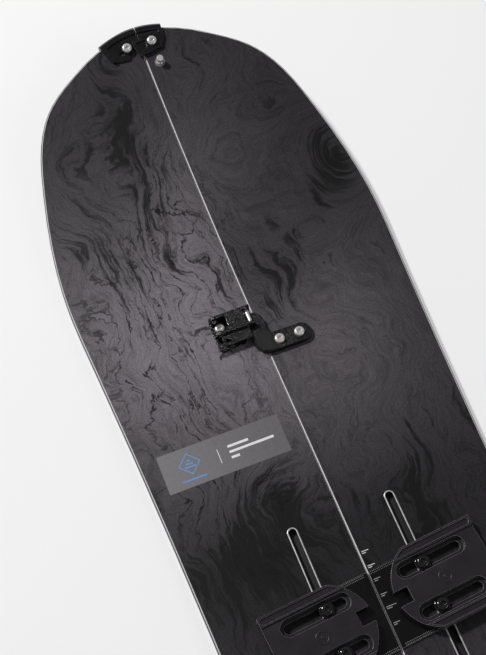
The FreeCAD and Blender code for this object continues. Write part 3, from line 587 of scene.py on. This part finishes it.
black = Finish("clip_black", (0.006, 0.006, 0.007), 0.34, 0.35)
black.shader.inputs["Specular IOR Level"].default_value = 0.35
at = black.place()[0]
pits = black.noise(at, 1400.0, 3.0, 0.7)
# Painted glints: pale specks of colour on the pits, where light would catch them.
painted_glints = pits.ramp(0.60, 0.72)
# Cloudy rub tone of the anodising.
rub_and_edge_highlight = black.noise(at, 160.0, 3.0)
tone = black.blend(rub_and_edge_highlight, (0.002, 0.002, 0.0024), (0.007, 0.007, 0.0078))
black.feed(Base_Color=black.blend(painted_glints, tone, (0.36, 0.35, 0.36)))
black.feed(Roughness=pits * 0.25 + 0.08)
black.bump(pits, 0.00030)
# Painted highlight: pale bare-looking metal on the rounded edges, broken into patches.
bare = Finish("clip_bare_edge", (0.30, 0.29, 0.29), 0.24, 0.9)
at = bare.place()[0]
highlight_patches = bare.noise(at, 420.0, 4.0, 0.7)
bare.feed(Base_Color=bare.blend(highlight_patches.ramp(0.46, 0.60), (0.012, 0.012, 0.013), (0.62, 0.60, 0.60)))
bare.feed(Roughness=highlight_patches * 0.3 + 0.12)
for end in ENDS:
    eased(end + "_clip_base", 0.0003, black, bare)
    eased(end + "_clip_lever", 0.0004, black, bare)
    eased(end + "_hook_plate", 0.0003, black, bare)


# Tip clips: tough moulded plastic, screwed down over the two tips so that they interlock. Their
# skin is satin black, and their rounded edges are painted paler as highlights.
def moulding(name, low, high, rough, gleam=0.35, grain=900.0):
    """Moulded plastic: cloudy tone between two colours, with a fine skin in its bump."""
    finish = Finish(name, low, rough)
    at = finish.place()[0]
    skin = finish.noise(at, grain, 3.0)
    cloud = finish.noise(at, 60.0, 3.0)
    finish.feed(Base_Color=finish.blend(skin * 0.5 + cloud * 0.5, low, high))
    finish.feed(Roughness=cloud * 0.16 + (rough - 0.08))
    finish.shader.inputs["Specular IOR Level"].default_value = gleam
    finish.bump(skin, 0.00006)
    return finish


moulded = moulding("tip_clip_moulded", (0.0025, 0.0023, 0.003), (0.009, 0.0085, 0.010), 0.26)
# Painted highlight: the paler finish for the rounded edges.
tip_highlight_edge = moulding("tip_clip_painted_highlight", (0.060, 0.056, 0.064), (0.150, 0.142, 0.158), 0.26)
for end in ("nose", "tail"):
    for side in SIDES:
        eased(f"{end}_clip_{side}", 0.0004, moulded, tip_highlight_edge)


# Bars, pins, posts and button-head screws: bright turned steel, screwed into the inserts. Pins and
# nuts sit inside other pieces, so they take the finish alone.
steel = Finish("screw_steel", (0.66, 0.64, 0.62), 0.2, 0.6)
at = steel.place()[0]
lathe = steel.noise(at, 1100.0, 2.0)
steel.feed(Roughness=lathe * 0.22 + 0.12)
steel.feed(Base_Color=steel.blend(lathe, (0.60, 0.58, 0.57), (0.86, 0.84, 0.82)))
for node in nodes:
    if node.endswith(("_pins", "_nuts")):
        steel.coat(node)
    elif node.endswith("_bar") or "screws" in node or "studs" in node:
        eased(node, 0.00025, steel)


# Pucks: moulded in black nylon with a matt skin, bolted down over the channels. Their rounded
# edges are painted paler as highlights. A thin glossier grip plate lies under each.
nylon = moulding("puck_nylon", (0.007, 0.006, 0.0073), (0.028, 0.025, 0.028), 0.30, 0.35, 1100.0)
# Painted highlight: the paler finish for the rounded edges of pucks and plates.
nylon_highlight_edge = moulding("puck_painted_highlight", (0.120, 0.113, 0.122), (0.340, 0.325, 0.340), 0.24)
plate_film = moulding("plate_gloss", (0.0015, 0.0015, 0.0018), (0.005, 0.005, 0.0055), 0.20)
for end in ENDS:
    for side in SIDES:
        eased(f"{end}_{side}_puck", 0.00055, nylon, nylon_highlight_edge)
        eased(f"{end}_{side}_puck_plate", 0.0003, plate_film, nylon_highlight_edge)


# Stance scale: pairs of short pale bars beside the split, for lining the pucks up. Two pairs are
# printed on the film and the rest on the front plate.
PLATE_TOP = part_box("front_right_puck_plate")[1].z
PLATE_LAYER = (PLATE_TOP - DECK) / PRINT + 1.0
TICKS = (
    (0.2523, 0.0062, 1.0),
    (0.2396, 0.0062, 1.0),
    (0.2273, 0.0056, PLATE_LAYER),
    (0.2139, 0.0056, PLATE_LAYER),
    (0.2029, 0.0088, PLATE_LAYER),
    (0.1891, 0.0056, PLATE_LAYER),
)
print_grey = Finish("print_grey", (0.30, 0.30, 0.30), 0.5)
fleck = print_grey.noise(print_grey.place()[0], 600.0, 2.0)
print_grey.feed(Base_Color=print_grey.blend(fleck, (0.16, 0.16, 0.16), (0.42, 0.42, 0.42)))
TICK_X, TICK_WIDTH, TICK_STEP = 0.0024, 0.0006, 0.0016
for number, (station, length, layer) in enumerate(TICKS):
    body = "right_half" if layer == 1.0 else bodies["front_right_puck_plate"]
    ink = print_white if layer == 1.0 else print_grey
    for line, share in enumerate((1.0, 0.55)):
        low = station - TICK_STEP * line
        span = (TICK_X, TICK_X + length * share, low - TICK_WIDTH, low)
        bar(f"stance_tick_{number}_{line}", *span, layer, ink, body)


# Raised grip beads: small domes moulded in two rows along the nose and tail edges of each front
# plate, which is turned to the stance angle.
bead = Finish("grip_bead", (0.10, 0.10, 0.10), 0.3)
at = bead.place()[0]
worn = bead.noise(at, 900.0, 2.0)
bead.feed(Base_Color=bead.blend(worn, (0.05, 0.05, 0.05), (0.42, 0.42, 0.42)))
TURN = math.radians(4.8)
BEAD_COUNT, BEAD_STEP, BEAD_ROW_STEP = 18, 0.0015, 0.0016
BEAD_START, BEAD_RADIUS = 0.0022, 0.00042
SEAM_KEEP = 0.0010


def bead_rows(side, edge_y):
    """Domes on a turned grid: x and y from the row and number, height from a quarter circle."""
    sign = -1.0 if side == "left" else 1.0
    steps = BEAD_START + np.arange(BEAD_COUNT) * BEAD_STEP
    along, row = np.meshgrid(steps, np.array([0.0, BEAD_ROW_STEP]), indexing="ij")
    px, py = sign * along.ravel(), edge_y + row.ravel()
    cx = px * math.cos(TURN) - py * math.sin(TURN)
    cy = FEET["front"] + px * math.sin(TURN) + py * math.cos(TURN)
    turn, climb = np.meshgrid(np.linspace(0.0, 2.0 * np.pi, 7), np.array([0.0, 0.9, 0.5 * np.pi]))
    ring, rise = BEAD_RADIUS * np.cos(climb), BEAD_RADIUS * np.sin(climb)
    dome = np.stack([ring * np.cos(turn), ring * np.sin(turn), rise], -1)
    foot = np.stack([cx, cy, np.full_like(cx, PLATE_TOP)], -1)
    points = (foot[:, None, None, :] + dome[None]).reshape(-1, 3)
    rows, columns = turn.shape
    corner = (np.arange(rows - 1)[:, None] * columns + np.arange(columns - 1)).ravel()
    one = np.stack([corner, corner + 1, corner + columns + 1, corner + columns], 1)
    faces = (np.arange(len(cx))[:, None, None] * rows * columns + one[None]).reshape(-1, 4)
    keep = np.abs(cx) > SEAM_KEEP
    faces = faces.reshape(len(cx), -1, 4)[keep].reshape(-1, 4)
    name = f"front_{side}_beads_{'nose' if edge_y > 0 else 'tail'}"
    mesh = bpy.data.meshes.new(name)
    mesh.from_pydata(points.tolist(), [], faces.tolist())
    mesh.materials.append(bead.material)
    close_up(mesh)
    obj = bpy.data.objects.new(name, mesh)
    bpy.context.scene.collection.objects.link(obj)
    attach(obj, bodies[f"front_{side}_puck_plate"])


NOSE_ROW_Y, TAIL_ROW_Y = 0.0298, -0.0334
for side in SIDES:
    bead_rows(side, NOSE_ROW_Y)
    bead_rows(side, TAIL_ROW_Y)


# Raised ring moulded on the middle of each puck, with a small round boss inside it. Both stand on
# the flat top between the rails.
RAIL_HEIGHT = 0.0018
BODY_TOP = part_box("front_right_puck")[1].z - RAIL_HEIGHT
MARK_MIDDLE = 0.0560
HUMP_RISE, HUMP_SINK = 0.0006, 0.0001
RING_INNER, RING_OUTER, BOSS_OUTER = 0.0040, 0.0062, 0.0019


def puck_mark(end, side, turn, name, inner, outer):
    """Flat-topped hump carried round a circle, its height a power of the share across."""
    sign = -1.0 if side == "left" else 1.0
    px = sign * MARK_MIDDLE
    cx = px * math.cos(turn)
    cy = FEET[end] + px * math.sin(turn)

    def surface(u, v):
        angle = 2.0 * np.pi * u
        share = 2.0 * v - 1.0
        reach = outer + (inner - outer) * v
        height = BODY_TOP - HUMP_SINK + HUMP_RISE * (1.0 - share**6)
        return cx + reach * np.cos(angle), cy + reach * np.sin(angle), height

    puck = f"{end}_{side}_puck"
    panel(f"{end}_{side}_{name}", 9, 41, surface, nylon, bodies[puck])


for end, turn in (("front", TURN), ("rear", 0.0)):
    for side in SIDES:
        puck_mark(end, side, turn, "puck_ring", RING_INNER, RING_OUTER)
        puck_mark(end, side, turn, "puck_boss", 0.0, BOSS_OUTER)


# Puck bolts: gloss black button heads with a socket, on black washers. Each goes down through a
# slot in the puck to a nut in the channel.
gloss = Finish("bolt_black", (0.006, 0.006, 0.007), 0.14)
at = gloss.place()[0]
wear = gloss.noise(at, 700.0, 3.0)
gloss.feed(Roughness=wear * 0.08 + 0.05)
gloss.feed(Base_Color=gloss.blend(wear, (0.004, 0.004, 0.005), (0.014, 0.014, 0.015)))
for end in ENDS:
    for side in SIDES:
        eased(f"{end}_{side}_bolts", 0.0003, gloss)


# The table and the light: a pale floor that sweeps up far behind into a wall, a soft light from
# the upper left, a weaker one opposite and a plain pale sky.
FLOOR_LEVEL, COVE = 9.0, 3.0
FLOOR_SINK = 0.0005


def studio_floor(u, v):
    """Round sheet, level out to nine metres and then rising as a quarter circle of three metres."""
    reach = (FLOOR_LEVEL + COVE) * (1.0 - v)
    climb = np.clip((reach - FLOOR_LEVEL) / COVE, 0.0, 1.0) * 0.5 * np.pi
    radius = np.minimum(reach, FLOOR_LEVEL) + COVE * np.sin(climb)
    height = COVE * (1.0 - np.cos(climb)) - FLOOR_SINK
    return radius * np.cos(2.0 * np.pi * u), radius * np.sin(2.0 * np.pi * u), height


floor_finish = Finish("floor_pale", (0.50, 0.50, 0.50), 0.95)
floor_finish.shader.inputs["Specular IOR Level"].default_value = 0.1
floor_finish.shader.inputs["Emission Color"].default_value = (1.0, 1.0, 1.0, 1.0)
floor_finish.shader.inputs["Emission Strength"].default_value = 0.39
sheet("floor", 25, 97, studio_floor, floor_finish)

world = bpy.data.worlds.new("studio")
bpy.context.scene.world = world
world.use_nodes = True
sky = world.node_tree.nodes["Background"]
sky.inputs["Color"].default_value = (1.0, 1.0, 1.0, 1.0)
sky.inputs["Strength"].default_value = 0.16


def softbox(name, place, aim, size, power):
    """Rectangular lamp at a place, turned to face the aim point."""
    data = bpy.data.lights.new(name, "AREA")
    data.shape = "RECTANGLE"
    data.size, data.size_y = size
    data.energy = power
    lamp = bpy.data.objects.new(name, data)
    bpy.context.scene.collection.objects.link(lamp)
    lamp.location = place
    away = np.array(place) - np.array(aim)
    lean = math.atan2(math.hypot(away[0], away[1]), away[2])
    lamp.rotation_euler = (lean, 0.0, math.atan2(away[0], -away[1]))


softbox("key_light", (-1.5, 2.3, 2.7), (0.0, 0.3, 0.0), (0.45, 0.45), 120.0)
softbox("fill_light", (2.4, -1.8, 2.2), (0.0, 0.3, 0.0), (2.0, 2.0), 20.0)

bpy.context.view_layer.update()
